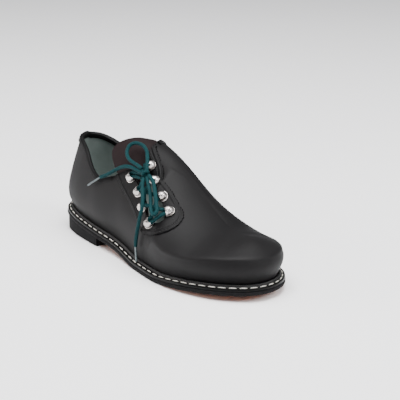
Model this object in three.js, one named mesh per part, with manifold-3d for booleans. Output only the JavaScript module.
// A low folk shoe for the right foot, laced on its outer side.
// Millimetres. +X runs to the toe, +Y to the inner side of the foot, +Z up. The origin is on the
// ground, in the middle of the shoe's box.
import * as THREE from 'three';
import { ParametricGeometry } from 'three/addons/geometries/ParametricGeometry.js';
import { mergeVertices } from 'three/addons/utils/BufferGeometryUtils.js';
import Module from 'manifold-3d';

const wasm = await Module();
wasm.setup();

// Sizes of the last and the sole
const shoeLength = 300;        // welt, heel back to toe tip
const ballWidth = 106;         // welt across the ball of the foot
const heelWidth = 75;          // welt across the heel
const seatHeight = 17.9;       // underside of the outsole above the ground at the heel back
const toeSpring = 6.5;         // underside of the outsole above the ground at the toe tip
const outsoleThickness = 4.2;
const weltThickness = 2.5;
const weltMargin = 7.5;        // welt showing outside the upper's foot
const insoleThickness = 3;     // insole above the welt
const insetOfHeel = 1.2;       // heel block inside the outsole's edge
const heelBreast = 86;         // heel block's front face from the heel back
const instepHeight = 112;      // ridge of the upper at the instep, above the ground
const wall = 1.8;              // leather of the upper
const shoulderRound = 0.05;    // rounding of the toe's shoulder, as a share of the half width
const collarHeight = 99.5;     // topline at the back seam, above the ground
const soleRound = 0.9;         // bevel of the outsole's and heel's edges
const weltSetback = 0.4;       // welt edge inside the outsole's edge
const ridgeWidth = 1.4;        // raised ridge of the welt against the upper
const ridgeHeight = 2.6;
const overlayThickness = 1.3;  // eyestay and collar band
const bandWidth = 5;           // collar band below the topline
const bandEnd = 0.43;          // front end of the band, as a share of the shoe's length
const tongueThickness = 1.8;
const tongueHem = 80;          // lower edge of the tongue on the inner side, above the ground
const vampEdgeFrom = 97;       // the vamp's top edge is cut from above down to here
const loopsPerRow = 4;
const loopRadius = 4.9;        // hood of a lace loop, across
const loopHeight = 6.2;        // hood above its base disc
const loopBase = 5.5;          // radius of its base disc
const loopBaseThickness = 0.7;
const loopBaseBack = 0.6;      // base disc set back from the hood's middle
const loopWall = 0.8;
const loopLength = 6.0;        // hood, half its length
const loopMouth = 3.4;         // plane of the hood's open end, from its middle
const laceDiameter = 3.6;
const laceClear = 1.9;         // lace in front of a loop's mouth
const laceRise = 2.4;          // lace centre above a loop's base
const laceSpread = 2.15;       // the two stretches at one loop, each side of its middle
const laceArch = 0.6;          // a stretch's middle above its ends
const agletDiameter = 2.6;
const gap = 0.3;               // between two pieces that touch
const soleSteps = 40;

// Sole outline, heel back to toe tip. along: share of the shoe's length. lateral, medial: outline
// to each side of the centre line, as shares of the local width (heel width to ball width).
const outlineTable = [
  { along: 0.000, lateral: 0.000, medial: 0.000 },
  { along: 0.015, lateral: 0.200, medial: 0.187 },
  { along: 0.050, lateral: 0.360, medial: 0.347 },
  { along: 0.120, lateral: 0.460, medial: 0.467 },
  { along: 0.250, lateral: 0.525, medial: 0.475 },
  { along: 0.400, lateral: 0.480, medial: 0.395 },
  { along: 0.550, lateral: 0.490, medial: 0.420 },
  { along: 0.680, lateral: 0.519, medial: 0.481 },
  { along: 0.800, lateral: 0.488, medial: 0.481 },
  { along: 0.900, lateral: 0.387, medial: 0.406 },
  { along: 0.960, lateral: 0.259, medial: 0.283 },
  { along: 0.990, lateral: 0.137, medial: 0.151 },
  { along: 1.000, lateral: 0.000, medial: 0.000 },
];

// Underside of the outsole. along: share of the shoe's length. seat: share of the seat height,
// spring: share of the toe spring.
const bedTable = [
  { along: 0.00, seat: 1.00, spring: 0.00 },
  { along: 0.13, seat: 0.73, spring: 0.00 },
  { along: 0.27, seat: 0.53, spring: 0.00 },
  { along: 0.40, seat: 0.31, spring: 0.00 },
  { along: 0.53, seat: 0.02, spring: 0.00 },
  { along: 0.60, seat: 0.00, spring: 0.00 },
  { along: 0.68, seat: 0.00, spring: 0.00 },
  { along: 0.80, seat: 0.00, spring: 0.45 },
  { along: 0.90, seat: 0.00, spring: 0.80 },
  { along: 1.00, seat: 0.00, spring: 1.00 },
];

// Last form, one row for each row of the outline. crest: the ridge of the upper, its place along
// the shoe as a share of the length, side (to the inner side) as a share of the ball width, height
// as a share of the instep height. full: fullness of the section on each side, 2 is an ellipse.
// lean: how far the wall leans in at the crest, as a share of the way to the crest. bulge: how far
// the wall swells out half-way up, as the same share. belly: height of that swell. dome: half width
// of the flatter arch that cuts the top off, leaving the shoulder of the toe.
const formTable = [
  { crest: 0.140, side: 0.000, height: 1.080, fullLateral: 5.0, fullMedial: 5.0, lean: 0.46,
    bulge: 0.21, belly: 0.21, dome: 9.00 },
  { crest: 0.145, side: 0.000, height: 1.080, fullLateral: 5.0, fullMedial: 5.0, lean: 0.44,
    bulge: 0.21, belly: 0.21, dome: 9.00 },
  { crest: 0.155, side: 0.000, height: 1.080, fullLateral: 5.0, fullMedial: 5.0, lean: 0.40,
    bulge: 0.20, belly: 0.21, dome: 9.00 },
  { crest: 0.190, side: 0.000, height: 1.060, fullLateral: 4.6, fullMedial: 4.6, lean: 0.33,
    bulge: 0.18, belly: 0.22, dome: 9.00 },
  { crest: 0.275, side: 0.010, height: 1.030, fullLateral: 3.4, fullMedial: 3.2, lean: 0.18,
    bulge: 0.14, belly: 0.26, dome: 9.00 },
  { crest: 0.405, side: 0.030, height: 0.992, fullLateral: 2.2, fullMedial: 3.0, lean: 0.06,
    bulge: 0.11, belly: 0.33, dome: 6.00 },
  { crest: 0.540, side: 0.060, height: 0.860, fullLateral: 2.0, fullMedial: 1.9, lean: 0.00,
    bulge: 0.10, belly: 0.42, dome: 3.00 },
  { crest: 0.660, side: 0.080, height: 0.620, fullLateral: 2.5, fullMedial: 1.85, lean: 0.00,
    bulge: 0.10, belly: 0.48, dome: 2.00 },
  { crest: 0.765, side: 0.080, height: 0.467, fullLateral: 3.6, fullMedial: 2.4, lean: 0.00,
    bulge: 0.13, belly: 0.50, dome: 1.67 },
  { crest: 0.840, side: 0.060, height: 0.438, fullLateral: 4.4, fullMedial: 3.6, lean: 0.00,
    bulge: 0.17, belly: 0.46, dome: 1.52 },
  { crest: 0.880, side: 0.040, height: 0.437, fullLateral: 4.8, fullMedial: 4.4, lean: 0.00,
    bulge: 0.22, belly: 0.45, dome: 1.50 },
  { crest: 0.897, side: 0.030, height: 0.437, fullLateral: 4.8, fullMedial: 4.6, lean: 0.00,
    bulge: 0.27, belly: 0.44, dome: 1.50 },
  { crest: 0.902, side: 0.030, height: 0.437, fullLateral: 4.8, fullMedial: 4.8, lean: 0.00,
    bulge: 0.29, belly: 0.44, dome: 1.50 },
];

// Topline on the outer side, back seam to throat. along: share of the shoe's length. up: share of
// the collar height.
const lateralTopline = [
  { along: 0.000, up: 1.000 },
  { along: 0.050, up: 1.000 },
  { along: 0.100, up: 0.970 },
  { along: 0.145, up: 0.925 },
  { along: 0.175, up: 0.875 },
  { along: 0.205, up: 0.795 },
  { along: 0.240, up: 0.730 },
  { along: 0.275, up: 0.703 },
  { along: 0.310, up: 0.720 },
  { along: 0.360, up: 0.775 },
  { along: 0.400, up: 0.835 },
  { along: 0.430, up: 0.900 },
  { along: 0.437, up: 1.150 },
];

// Topline on the inner side, back seam to ridge, in the same shares.
const medialTopline = [
  { along: 0.000, up: 1.000 },
  { along: 0.050, up: 0.990 },
  { along: 0.100, up: 0.920 },
  { along: 0.160, up: 0.840 },
  { along: 0.220, up: 0.800 },
  { along: 0.280, up: 0.830 },
  { along: 0.340, up: 0.930 },
  { along: 0.370, up: 0.990 },
  { along: 0.395, up: 1.035 },
  { along: 0.400, up: 1.150 },
];

// Top edge of the vamp over the ridge, seen from above. along: share of the shoe's length. aside:
// to the inner side, as a share of the ball width.
const vampEdge = [
  { along: 0.437, aside: -0.010 },
  { along: 0.437, aside: 0.000 },
  { along: 0.430, aside: 0.050 },
  { along: 0.417, aside: 0.110 },
  { along: 0.400, aside: 0.170 },
  { along: 0.380, aside: 0.200 },
];

// Outer edge of the eyestay on the outer side, from the ridge down its front edge, round the bottom
// and up its rear edge to the topline. along: share of the shoe's length. up: share of the instep
// height.
const eyestayTable = [
  { along: 0.402, up: 1.050 },
  { along: 0.422, up: 0.985 },
  { along: 0.461, up: 0.918 },
  { along: 0.532, up: 0.797 },
  { along: 0.599, up: 0.693 },
  { along: 0.658, up: 0.600 },
  { along: 0.693, up: 0.550 },
  { along: 0.708, up: 0.508 },
  { along: 0.706, up: 0.462 },
  { along: 0.680, up: 0.412 },
  { along: 0.632, up: 0.367 },
  { along: 0.569, up: 0.349 },
  { along: 0.512, up: 0.433 },
  { along: 0.460, up: 0.513 },
  { along: 0.406, up: 0.595 },
  { along: 0.362, up: 0.680 },
  { along: 0.330, up: 0.760 },
];

// Tongue: its rear and lower edge on the outer side, in the same shares.
const tongueSide = [
  { along: 0.297, up: 0.900 },
  { along: 0.301, up: 0.850 },
  { along: 0.320, up: 0.780 },
  { along: 0.360, up: 0.690 },
  { along: 0.430, up: 0.560 },
  { along: 0.510, up: 0.440 },
  { along: 0.590, up: 0.370 },
  { along: 0.660, up: 0.400 },
  { along: 0.690, up: 0.500 },
  { along: 0.695, up: 0.600 },
];

// Tongue: its upper edge seen from above, in the shares of the vamp edge.
const tongueTop = [
  { along: 0.290, aside: -0.300 },
  { along: 0.298, aside: -0.210 },
  { along: 0.308, aside: -0.174 },
  { along: 0.325, aside: -0.130 },
  { along: 0.340, aside: -0.092 },
  { along: 0.355, aside: -0.047 },
  { along: 0.368, aside: -0.011 },
  { along: 0.384, aside: 0.025 },
  { along: 0.405, aside: 0.090 },
  { along: 0.435, aside: 0.180 },
  { along: 0.500, aside: 0.250 },
];

// Throat on the outer side, from above the topline down its rear edge, round its end and up its
// front edge. along: share of the shoe's length. up: share of the instep height.
const throatTable = [
  { along: 0.380, up: 0.900 },
  { along: 0.428, up: 0.750 },
  { along: 0.486, up: 0.648 },
  { along: 0.543, up: 0.560 },
  { along: 0.600, up: 0.478 },
  { along: 0.626, up: 0.455 },
  { along: 0.650, up: 0.472 },
  { along: 0.650, up: 0.513 },
  { along: 0.602, up: 0.605 },
  { along: 0.548, up: 0.700 },
  { along: 0.496, up: 0.792 },
  { along: 0.458, up: 0.880 },
  { along: 0.430, up: 1.020 },
];

// Smooth value of one column at a place between the rows, 0 at the first row and 1 at the last.
function column(table, name, place) {
  const last = table.length - 1;
  const at = Math.min(Math.max(place, 0), 1) * last;
  const i = Math.min(Math.floor(at), last - 1);
  const f = at - i;
  const value = (k) => table[Math.min(Math.max(k, 0), last)][name];
  const p1 = value(i);
  const p2 = value(i + 1);
  const m1 = i === 0 ? p2 - p1 : (p2 - value(i - 1)) / 2;
  const m2 = i + 1 === last ? p2 - p1 : (value(i + 2) - p1) / 2;
  const f2 = f * f;
  const f3 = f2 * f;
  return (2 * f3 - 3 * f2 + 1) * p1 + (f3 - 2 * f2 + f) * m1 + (3 * f2 - 2 * f3) * p2 + (f3 - f2) * m2;
}

function smoothStep(from, to, x) {
  const f = Math.min(Math.max((x - from) / (to - from), 0), 1);
  return f * f * (3 - 2 * f);
}

// Welt outline as one closed curve: outer side from heel to toe, then inner side back to the heel.
function outlinePoint(row, side) {
  const local = heelWidth + (ballWidth - heelWidth) * smoothStep(0.2, 0.65, row.along);
  const half = side < 0 ? row.lateral : row.medial;
  return new THREE.Vector3(row.along * shoeLength, side * half * local, 0);
}
const outlineCurve = new THREE.CatmullRomCurve3([
  ...outlineTable.map((row) => outlinePoint(row, -1)),
  ...outlineTable.slice(1, -1).reverse().map((row) => outlinePoint(row, 1)),
], true, 'centripetal');

// Point of the outline moved inwards; place 0 to 1 from heel back to toe tip, side -1 or 1.
function outlineAt(place, side, inset) {
  const u = side < 0 ? place / 2 : 1 - place / 2;
  const step = 0.002;
  const wrap = (value) => (value + 1) % 1;
  const point = outlineCurve.getPoint(wrap(u));
  const ahead = outlineCurve.getPoint(wrap(u + step));
  const tangent = ahead.sub(outlineCurve.getPoint(wrap(u - step))).normalize();
  point.x -= tangent.y * inset;
  point.y += tangent.x * inset;
  return point;
}

// Height of the outsole's underside, from the rows by their place along the shoe.
function bedHeight(x) {
  const along = Math.min(Math.max(x / shoeLength, 0), 1);
  let i = 0;
  while (i < bedTable.length - 2 && bedTable[i + 1].along < along) i += 1;
  const from = bedTable[i];
  const to = bedTable[i + 1];
  const place = (i + (along - from.along) / (to.along - from.along)) / (bedTable.length - 1);
  const height = seatHeight * column(bedTable, 'seat', place) + toeSpring * column(bedTable, 'spring', place);
  return Math.max(height, 0);
}

// Solid from a closed geometry, with collapsed triangles left out.
function solidOf(geometry) {
  geometry.deleteAttribute('normal');
  geometry.deleteAttribute('uv');
  const merged = mergeVertices(geometry, 1e-4);
  const index = merged.index.array;
  const kept = [];
  for (let i = 0; i < index.length; i += 3) {
    const [a, b, c] = [index[i], index[i + 1], index[i + 2]];
    if (a !== b && b !== c && c !== a) kept.push(a, b, c);
  }
  const solid = new wasm.Manifold(new wasm.Mesh({
    numProp: 3,
    vertProperties: Float32Array.from(merged.attributes.position.array),
    triVerts: Uint32Array.from(kept),
  }));
  if (solid.volume() < 0) throw new Error('a solid is inside out');
  return solid;
}

function geometryOf(solid) {
  const mesh = solid.getMesh();
  const geometry = new THREE.BufferGeometry();
  geometry.setAttribute('position', new THREE.BufferAttribute(Float32Array.from(mesh.vertProperties), 3));
  geometry.setIndex(new THREE.BufferAttribute(Uint32Array.from(mesh.triVerts), 1));
  geometry.computeVertexNormals();
  return geometry;
}

// Solid whose edge follows the sole's outline. profile runs up the edge: inset from the outline and
// height, and the plate is flat across.
function soleSolid(profile, steps) {
  const corners = profile.length;
  const surface = (u, v, target) => {
    const at = Math.round(u * 2 * corners) % (2 * corners);
    const side = at < corners ? 1 : -1;
    const { inset, height } = profile[at < corners ? at : 2 * corners - 1 - at];
    const point = outlineAt(v, side, typeof inset === 'function' ? inset(v) : inset);
    target.set(point.x, point.y, height(point.x));
  };
  return solidOf(new ParametricGeometry(surface, 2 * corners, steps));
}

// Outer form of the upper. u runs over a section from the outer side's edge across the ridge to the
// inner side's edge and back underneath, place runs from the heel back to the toe tip.
const foot = (x) => bedHeight(x) + outsoleThickness + gap + weltThickness + gap;
function formPoint(place, side, rise) {
  const base = outlineAt(place, side, weltMargin);
  const crestX = column(formTable, 'crest', place) * shoeLength;
  const crestY = column(formTable, 'side', place) * ballWidth;
  const crestZ = column(formTable, 'height', place) * instepHeight;
  const full = column(formTable, side < 0 ? 'fullLateral' : 'fullMedial', place);
  const lean = column(formTable, 'lean', place);
  const bulge = column(formTable, 'bulge', place);
  const low = Math.pow(Math.max(rise, 0), full / 2);
  const high = Math.pow(Math.max(1 - rise, 0), full / 2);
  const angle = Math.PI / 2 * low / (low + high);
  const up = Math.pow(Math.sin(angle), 2 / full);
  const steep = Math.pow(Math.max(Math.cos(angle), 0), 2 / full);
  const dome = column(formTable, 'dome', place) * Math.sqrt(Math.max(1 - up * up, 0));
  const out = (steep + dome - Math.hypot(steep - dome, shoulderRound * steep)) / 2;
  const belly = column(formTable, 'belly', place);
  const half = up * (1 - belly) / (up * (1 - belly) + (1 - up) * belly);
  const swell = Math.pow(Math.sin(Math.PI * Math.min(half, 1)), 1.5);
  const spread = out * (1 - lean * up * up + bulge * swell);
  const floor = foot(base.x);
  return new THREE.Vector3(
    crestX + (base.x - crestX) * spread,
    crestY + (base.y - crestY) * spread,
    floor + (crestZ - floor) * up,
  );
}

const sectionSteps = 11;
const lengthSteps = 33;
function formSolid(inwards, below) {
  const across = (place, side, rise) => {
    if (place < 0) return formPoint(-place, -side, rise);
    if (place > 1) return formPoint(2 - place, -side, rise);
    if (rise > 1) return formPoint(place, -side, 2 - rise);
    return formPoint(place, side, rise);
  };
  const normalAt = (place, side, rise) => {
    const step = 0.004;
    const p0 = across(place - step, side, rise);
    const p1 = across(place + step, side, rise);
    const q0 = across(place, side, Math.max(rise - step, 0));
    const q1 = across(place, side, Math.max(rise, 0) + step);
    return p1.sub(p0).cross(q1.sub(q0)).multiplyScalar(-side).normalize();
  };
  const surface = (u, v, target) => {
    const at = Math.round((1 - u) * (2 * sectionSteps + 1));
    const side = at <= sectionSteps ? -1 : 1;
    const rise = at <= sectionSteps ? at / sectionSteps : (2 * sectionSteps - at) / sectionSteps;
    if (at === 2 * sectionSteps + 1) return surface(1, v, target);
    const place = v;
    const point = formPoint(place, side, Math.max(rise, 0));
    if (inwards !== 0) {
      const normal = normalAt(place, side, Math.max(rise, 0.002));
      point.addScaledVector(normal, -inwards);
    }
    if (rise <= 0) point.z -= below;
    target.copy(point);
    return target;
  };
  return solidOf(new ParametricGeometry(surface, 2 * sectionSteps + 1, lengthSteps));
}

// Solid block over a side view outline, from one distance beside the centre line to another.
function sideBlock(points, from, to) {
  const shape = new THREE.Shape(points.map(([x, z]) => new THREE.Vector2(x, z)));
  const geometry = new THREE.ExtrudeGeometry(shape, { depth: to - from, bevelEnabled: false });
  geometry.rotateX(Math.PI / 2);
  geometry.translate(0, to, 0);
  return solidOf(geometry);
}

// Smooth side view line through table rows, along and up as shares of two lengths.
function sideLine(table, length, height, steps, shift = 0) {
  const points = table.map((row) => new THREE.Vector2(row.along * length, row.up * height + shift));
  return new THREE.SplineCurve(points).getPoints(steps).map((p) => [p.x, p.y]);
}

// Smooth line seen from above, through table rows.
function planLine(table, steps) {
  const points = table.map((row) => new THREE.Vector2(row.along * shoeLength, row.aside * ballWidth));
  return new THREE.SplineCurve(points).getPoints(steps).map((p) => [p.x, p.y]);
}

// Solid block over an outline seen from above, between two heights.
function planBlock(points, low, high) {
  const shape = new THREE.Shape(points.map(([x, y]) => new THREE.Vector2(x, y)));
  const geometry = new THREE.ExtrudeGeometry(shape, { depth: high - low, bevelEnabled: false });
  geometry.translate(0, 0, low);
  return solidOf(geometry);
}

// The same outline, open upwards.
function closeAbove(line) {
  const first = line[0];
  const last = line[line.length - 1];
  return [[first[0], 2 * instepHeight], ...line, [last[0], 2 * instepHeight]];
}

// A side view outline moved outwards all round.
function growLine(line, distance) {
  const area = THREE.ShapeUtils.area(line.map(([x, z]) => new THREE.Vector2(x, z)));
  return line.map(([x, z], i) => {
    const before = line[(i + line.length - 1) % line.length];
    const after = line[(i + 1) % line.length];
    const along = new THREE.Vector2(after[0] - before[0], after[1] - before[1]).normalize();
    const sign = area > 0 ? distance : -distance;
    return [x + along.y * sign, z - along.x * sign];
  });
}

// The largest separate body of a solid.
function largestOf(solid) {
  return solid.decompose().sort((a, b) => b.volume() - a.volume())[0];
}

const shoe = new THREE.Group();
shoe.name = 'folk_shoe';
function addPiece(name, solid, colour, roughness, metalness) {
  const material = new THREE.MeshStandardMaterial({ color: colour, roughness, metalness });
  const mesh = new THREE.Mesh(geometryOf(solid), material);
  mesh.name = name;
  shoe.add(mesh);
  return mesh;
}

// Sole: outsole with a rounded edge, heel block under it, welt ring above it.
const soleTop = (x) => bedHeight(x) + outsoleThickness;
const weltFoot = (x) => soleTop(x) + gap;
const weltTop = (x) => weltFoot(x) + weltThickness;
const outsole = soleSolid([
  { inset: soleRound, height: bedHeight },
  { inset: 0, height: (x) => bedHeight(x) + soleRound },
  { inset: 0, height: (x) => soleTop(x) - soleRound },
  { inset: soleRound, height: soleTop },
], soleSteps);
addPiece('outsole', outsole, 0x39383a, 0.8, 0);

const heelRoof = (x) => bedHeight(x) - gap;
const heelBlock = soleSolid([
  { inset: insetOfHeel + soleRound, height: () => 0 },
  { inset: insetOfHeel, height: () => soleRound },
  { inset: insetOfHeel, height: heelRoof },
], soleSteps);
const heelReach = sideBlock([
  [-shoeLength, -shoeLength],
  [heelBreast, -shoeLength],
  [heelBreast, shoeLength],
  [-shoeLength, shoeLength],
], -shoeLength, shoeLength);
addPiece('heel', heelBlock.intersect(heelReach), 0x3b3a3c, 0.85, 0);

// Distance that the upper stands out from its foot line at the top of the ridge.
function overhang(place, side) {
  const footPoint = outlineAt(place, side, weltMargin);
  let reach = 0;
  for (const rise of [0.02, 0.04, 0.06, 0.08, 0.10]) {
    const point = formPoint(place, side, rise);
    if (point.z - foot(footPoint.x) > ridgeHeight + 2) break;
    point.z = 0;
    const edge = outlineAt(place, side, 0);
    reach = Math.max(reach, footPoint.distanceTo(edge) - point.distanceTo(edge));
  }
  return reach;
}

// The welt is a ring, with its ridge, swept round the outline.
const ridgeFoot = weltMargin - gap;
const weltSection = [
  { inset: () => weltSetback, height: weltFoot },
  { inset: () => weltMargin + wall, height: weltFoot },
  { inset: () => weltMargin + wall, height: weltTop },
  { inset: () => ridgeFoot, height: weltTop },
  { inset: (reach) => ridgeFoot - reach, height: (x) => weltTop(x) + ridgeHeight },
  { inset: (reach) => ridgeFoot - reach - ridgeWidth, height: (x) => weltTop(x) + ridgeHeight },
  { inset: (reach) => ridgeFoot - reach - ridgeWidth - 0.3, height: weltTop },
  { inset: () => weltSetback, height: weltTop },
];
const welt = solidOf(new ParametricGeometry((u, v, target) => {
  const { inset, height } = weltSection[Math.round(u * weltSection.length) % weltSection.length];
  const side = v < 0.5 ? -1 : 1;
  const place = v < 0.5 ? v * 2 : 2 - v * 2;
  const point = outlineAt(place, side, inset(overhang(place, side)));
  target.set(point.x, point.y, height(point.x));
}, weltSection.length, 2 * soleSteps));
addPiece('welt', welt, 0x232224, 0.6, 0);

const insole = soleSolid([
  { inset: weltMargin + wall + gap, height: (x) => soleTop(x) + gap },
  { inset: weltMargin + wall + gap, height: (x) => weltTop(x) + insoleThickness },
], soleSteps);
addPiece('insole', insole, 0x5f6765, 0.8, 0);

const form = formSolid(0, 0);
// Openings of the upper: collar on each side of the ridge, and the throat on the outer side.
const far = shoeLength;
const toplineLateral = sideLine(lateralTopline, shoeLength, collarHeight, 30);
const toplineMedial = sideLine(medialTopline, shoeLength, collarHeight, 26);
function collarBlock(line, from, to, drop) {
  const end = line[line.length - 1];
  const low = line.map(([x, z]) => [x, z - drop]);
  return sideBlock([[-far, line[0][1] - drop], ...low, [end[0], far], [-far, far]], from, to);
}
const openLateral = collarBlock(toplineLateral, -far, 0, 0);
const openMedial = collarBlock(toplineMedial, 0, far, 0);
const throatLine = sideLine(throatTable, shoeLength, instepHeight, 30);
const throat = sideBlock(throatLine, -far, 0);
const hollow = formSolid(wall, 6);
const vampLine = planLine(vampEdge, 20);
const openTop = planBlock([...vampLine, [0, vampLine[20][1]], [0, vampLine[0][1]]],
  vampEdgeFrom, 2 * instepHeight);
const openings = openLateral.add(openMedial).add(throat).add(openTop);
addPiece('upper', form.subtract(hollow).subtract(openings), 0x2d2b2e, 0.5, 0);

// Eyestay: a shield shaped facing over the upper, open along the throat.
const overlay = formSolid(-gap - overlayThickness, 0).subtract(formSolid(-gap, 3));
const eyestayArea = sideBlock(sideLine(eyestayTable, shoeLength, instepHeight, 44), -far, 0);
addPiece('eyestay', overlay.intersect(eyestayArea).subtract(openings), 0x262427, 0.5, 0);

// Collar band: a strip under the topline, from the eyestay round the back to the ridge.
const bandLateral = collarBlock(toplineLateral, -far, 0, bandWidth);
const bandMedial = collarBlock(toplineMedial, 0, far, bandWidth);
const eyestayClear = sideBlock(growLine(sideLine(eyestayTable, shoeLength, instepHeight, 44), gap), -far, 0);
const bandFront = bandEnd * shoeLength;
const bandSpan = sideBlock([[-far, -far], [bandFront, -far], [bandFront, far], [-far, far]], -far, far);
const band = overlay.intersect(bandLateral.add(bandMedial)).intersect(bandSpan)
  .subtract(openings).subtract(eyestayClear);
addPiece('collar_band', largestOf(band), 0x1e1d1f, 0.5, 0);

// Tongue: a sheet inside the upper, standing out of the collar.
const tongueSheet = formSolid(wall + gap, 3).subtract(formSolid(wall + gap + tongueThickness, 9));
const tongueLine = planLine(tongueTop, 30);
const tongueFront = 0.695 * shoeLength;
const tongueArea = planBlock([...tongueLine, [tongueFront, tongueLine[30][1]], [tongueFront, -far],
  [tongueLine[0][0], -far]], 0, 2 * instepHeight)
  .intersect(sideBlock(closeAbove(sideLine(tongueSide, shoeLength, instepHeight, 36)), -far, 0)
    .add(planBlock([[0, 0], [tongueFront, 0], [tongueFront, far], [0, far]], tongueHem, 2 * instepHeight)));
addPiece('tongue', largestOf(tongueSheet.intersect(tongueArea)), 0x2b2527, 0.6, 0);

// Point of the outer form on the outer side with this place in the side view, and its outward
// normal.
function sidePoint(x, z) {
  let place = x / shoeLength;
  let rise = 0.5;
  for (let i = 0; i < 60; i += 1) {
    const point = formPoint(place, -1, rise);
    place += (x - point.x) / shoeLength * 0.7;
    rise += (z - point.z) / instepHeight * 0.5;
    place = Math.min(Math.max(place, 0.02), 0.98);
    rise = Math.min(Math.max(rise, 0.02), 0.98);
  }
  const step = 0.01;
  const along = formPoint(place + step, -1, rise).sub(formPoint(place - step, -1, rise));
  const up = formPoint(place, -1, rise + step).sub(formPoint(place, -1, rise - step));
  return { point: formPoint(place, -1, rise), normal: along.cross(up).normalize() };
}

// Lace loops: a row of hoods on each side of the throat, their mouths to the throat.
// from and to: first and last loop of a row, along as a share of the shoe's length and up as a
// share of the instep height.
const loopRows = [
  { name: 'front', from: { along: 0.490, up: 0.806 }, to: { along: 0.655, up: 0.535 } },
  { name: 'rear', from: { along: 0.438, up: 0.708 }, to: { along: 0.610, up: 0.444 } },
];

function loopShape() {
  const disc = new THREE.CylinderGeometry(loopBase, loopBase, loopBaseThickness, 12);
  disc.rotateX(Math.PI / 2);
  disc.translate(-loopBaseBack, 0, loopBaseThickness / 2);
  const dome = (radius, height, length, shift) => {
    const sphere = new THREE.SphereGeometry(1, 10, 6);
    sphere.rotateX(Math.PI / 2);
    sphere.scale(length, radius, height);
    sphere.translate(shift, 0, loopBaseThickness * 0.8);
    return solidOf(sphere);
  };
  const room = (low, high, near, front) => {
    const box = new THREE.BoxGeometry(front - near, 20, high - low);
    box.translate((front + near) / 2, 0, (high + low) / 2);
    return solidOf(box);
  };
  const hood = dome(loopRadius, loopHeight, loopLength, 0)
    .subtract(dome(loopRadius - loopWall, loopHeight - loopWall, loopLength, loopWall))
    .intersect(room(loopBaseThickness * 0.5, 20, -20, loopMouth));
  return solidOf(disc).add(hood);
}
const loop = loopShape();

// Frame of each loop: where it stands, out of the surface, towards the throat and down the row.
const loopFrames = {};
for (const row of loopRows) {
  for (let i = 0; i < loopsPerRow; i += 1) {
    const f = i / (loopsPerRow - 1);
    const x = (row.from.along + (row.to.along - row.from.along) * f) * shoeLength;
    const z = (row.from.up + (row.to.up - row.from.up) * f) * instepHeight;
    const { point, normal } = sidePoint(x, z);
    loopFrames[row.name + '_' + (i + 1)] = { point, normal };
  }
}
for (let i = 1; i <= loopsPerRow; i += 1) {
  for (const name of ['front', 'rear']) {
    const here = loopFrames[name + '_' + i];
    const other = loopFrames[(name === 'front' ? 'rear' : 'front') + '_' + i];
    const toThroat = other.point.clone().sub(here.point);
    toThroat.addScaledVector(here.normal, -toThroat.dot(here.normal)).normalize();
    const sideways = here.normal.clone().cross(toThroat);
    here.base = here.point.clone().addScaledVector(here.normal, overlayThickness + 2 * gap);
    here.matrix = new THREE.Matrix4().makeBasis(toThroat, sideways, here.normal).setPosition(here.base);
    here.toThroat = toThroat;
    here.down = sideways.dot(new THREE.Vector3(0, 0, -1)) > 0 ? sideways : sideways.clone().negate();
    const placed = loop.transform(here.matrix.elements);
    addPiece('loop_' + name + '_' + i, placed, 0xb9b7b4, 0.3, 1);
  }
}

// The origin is under the middle of the shoe's box, cords left out.
const middle = new THREE.Box3().setFromObject(shoe).getCenter(new THREE.Vector3());
shoe.position.set(-middle.x, -middle.y, 0);

// Tube along hand-chosen points.
function tube(points, diameter, steps, sides = 8) {
  const circle = new THREE.Shape();
  for (let i = 0; i < sides; i += 1) {
    const angle = (i + 0.5) / sides * 2 * Math.PI;
    const spot = [Math.cos(angle) * diameter / 2, Math.sin(angle) * diameter / 2];
    if (i === 0) circle.moveTo(spot[0], spot[1]);
    else circle.lineTo(spot[0], spot[1]);
  }
  const path = new THREE.CatmullRomCurve3(points.map((p) => new THREE.Vector3(...p)), false, 'centripetal');
  return solidOf(new THREE.ExtrudeGeometry(circle, { steps, extrudePath: path, bevelEnabled: false }));
}

// Lace across the throat: a bar between the lowest loops and crossings between the pairs above.
function mouth(name, shift) {
  const { base, toThroat, normal, down } = loopFrames[name];
  return base.clone().addScaledVector(toThroat, loopMouth + laceClear).addScaledVector(normal, laceRise)
    .addScaledVector(down, shift);
}
function stretch(fromName, fromShift, toName, toShift) {
  const from = mouth(fromName, fromShift);
  const to = mouth(toName, toShift);
  const top = from.clone().lerp(to, 0.5).addScaledVector(loopFrames[fromName].normal, laceArch);
  return tube([from, top, to].map((p) => p.toArray()), laceDiameter, 4);
}
addPiece('lace_bar', stretch('front_4', laceSpread, 'rear_4', laceSpread), 0x1d4a4c, 0.8, 0);
for (let i = loopsPerRow; i > 1; i -= 1) {
  const cross = stretch('rear_' + i, -laceSpread, 'front_' + (i - 1), laceSpread)
    .add(stretch('front_' + i, -laceSpread, 'rear_' + (i - 1), laceSpread));
  addPiece('lace_cross_' + (i - 1), cross, 0x1d4a4c, 0.8, 0);
}

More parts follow.
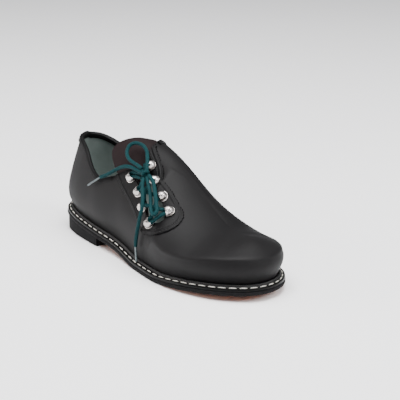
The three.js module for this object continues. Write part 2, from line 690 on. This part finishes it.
// Knot, bow loops and loose ends, in the shoe's own frame before it is centred. The cords start
// clear of the knot.
const knotPlace = [155.5, -29.2, 89.4];
const knotRadii = [5.0, 3.6, 4.6];
function knotSolid(grown) {
  const ball = new THREE.SphereGeometry(1, 12, 8);
  ball.scale(knotRadii[0] + grown, knotRadii[1] + grown, knotRadii[2] + grown);
  ball.translate(...knotPlace);
  return solidOf(ball);
}
const laceRoutes = {
  bow_loop_upper: [
    [155.6, -27.6, 91.8], [152.6, -24.7, 96.1], [147.4, -20.7, 101.1], [139.1, -15.3, 104.8],
    [132.6, -13.6, 108.0], [126.9, -14.3, 109.6], [121.2, -16.4, 109.7], [117.4, -19.9, 106.8],
    [118.9, -24.1, 101.9], [125.0, -27.0, 97.4], [134.0, -28.4, 95.4], [143.6, -28.9, 94.1],
    [149.9, -28.9, 92.4],
  ],
  bow_loop_lower: [
    [161.2, -29.0, 88.4], [170.6, -31.4, 85.2], [177.2, -34.3, 79.9], [182.9, -37.5, 74.2],
    [188.0, -40.2, 68.4], [192.3, -43.0, 64.6], [193.1, -45.4, 61.9], [190.3, -46.3, 60.9],
    [185.6, -44.6, 63.3],
    [178.1, -39.5, 69.5], [171.5, -35.7, 76.9], [165.9, -33.6, 83.0], [160.6, -30.7, 86.6],
  ],
  lace_end_rear: [
    [151.5, -30.6, 88.9], [143.0, -30.3, 90.3], [134.8, -30.7, 91.0], [125.8, -31.4, 89.9],
    [116.0, -31.9, 86.0], [107.0, -33.7, 80.6], [100.1, -35.5, 76.4], [92.0, -36.9, 72.5],
  ],
  lace_end_front: [
    [157.7, -32.9, 85.4], [162.0, -37.2, 80.6], [167.5, -41.0, 75.2], [172.3, -44.5, 69.3],
    [175.1, -47.6, 62.6], [174.1, -49.1, 54.9], [171.1, -49.1, 45.4], [168.7, -49.1, 36.1],
    [166.7, -48.6, 29.9], [165.2, -47.9, 23.9],
  ],
};
const laceSteps = { bow_loop_upper: 13, bow_loop_lower: 13, lace_end_rear: 8, lace_end_front: 9 };
const agletRoutes = {
  aglet_rear: [[91.4, -36.9, 72.3], [82.1, -37.9, 66.5], [71.6, -38.4, 60.0]],
  aglet_front: [[165.1, -47.8, 23.5], [165.7, -47.8, 16.1], [166.7, -48.0, 8.9]],
};
addPiece('lace_knot', knotSolid(0), 0x1d4a4c, 0.8, 0);
for (const [name, points] of Object.entries(laceRoutes)) {
  const cord = tube(points, laceDiameter, laceSteps[name]).subtract(knotSolid(gap));
  addPiece(name, largestOf(cord), 0x1d4a4c, 0.8, 0);
}
for (const [name, points] of Object.entries(agletRoutes)) {
  addPiece(name, tube(points, agletDiameter, 3), 0xb8babb, 0.4, 0);
}

export default shoe;
